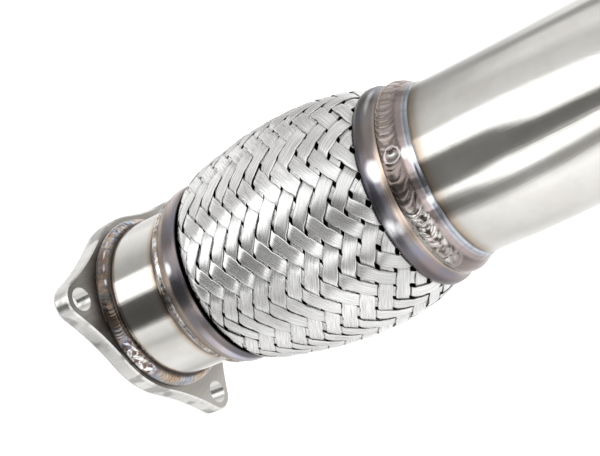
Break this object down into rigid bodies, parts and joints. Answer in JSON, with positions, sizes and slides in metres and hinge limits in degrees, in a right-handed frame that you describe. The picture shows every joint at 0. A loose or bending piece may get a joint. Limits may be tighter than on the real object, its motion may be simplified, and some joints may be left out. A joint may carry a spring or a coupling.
{
  "type": "turbo downpipe",
  "caption": "Turbo downpipe end: a triangular bolted flange, a short tube, a braided bellows flex section between end caps, and a wide bent main pipe.",
  "frame": {"origin": "centre of the flange's mating face, on the flex axis", "axes": "+Z along the flex axis away from the flange, +X towards the side that the main pipe bends to"},
  "size_m": [0.16, 0.1145, 0.3326],
  "materials": {
    "flange_plate": "laser-cut stainless plate, satin face with bright edges",
    "tube": "polished stainless tube, straw heat tint beside the welds",
    "weld": "rippled stainless weld bead, heat tinted brown, gold and blue",
    "cap": "pressed stainless, smooth, lavender and brown heat tint",
    "bellows": "thin formed stainless, dull",
    "liner": "interlocked stainless strip, dull",
    "braid": "flat bundles of fine bright stainless wire, over and under two"
  },
  "bodies": {
    "flange_end": {"flange": "flange_plate", "flange_tube": "tube", "flange_weld": "weld", "lower_cap": "cap", "lower_cap_weld": "weld", "bellows": "bellows", "interlock_liner": "liner", "outer_braid": "braid"},
    "pipe_end": {"upper_cap": "cap", "upper_cap_weld": "weld", "main_pipe": "tube"}
  },
  "joints": [
    {"name": "flex_bend", "type": "hinge", "parent": "flange_end", "child": "pipe_end", "pos_m": [0, 0, 0.10545], "axis": [0, 1, 0], "range_deg": [-5, 5], "stiffness_Nm_per_rad": 90, "deforming": ["outer_braid", "bellows", "interlock_liner"]}
  ]
}
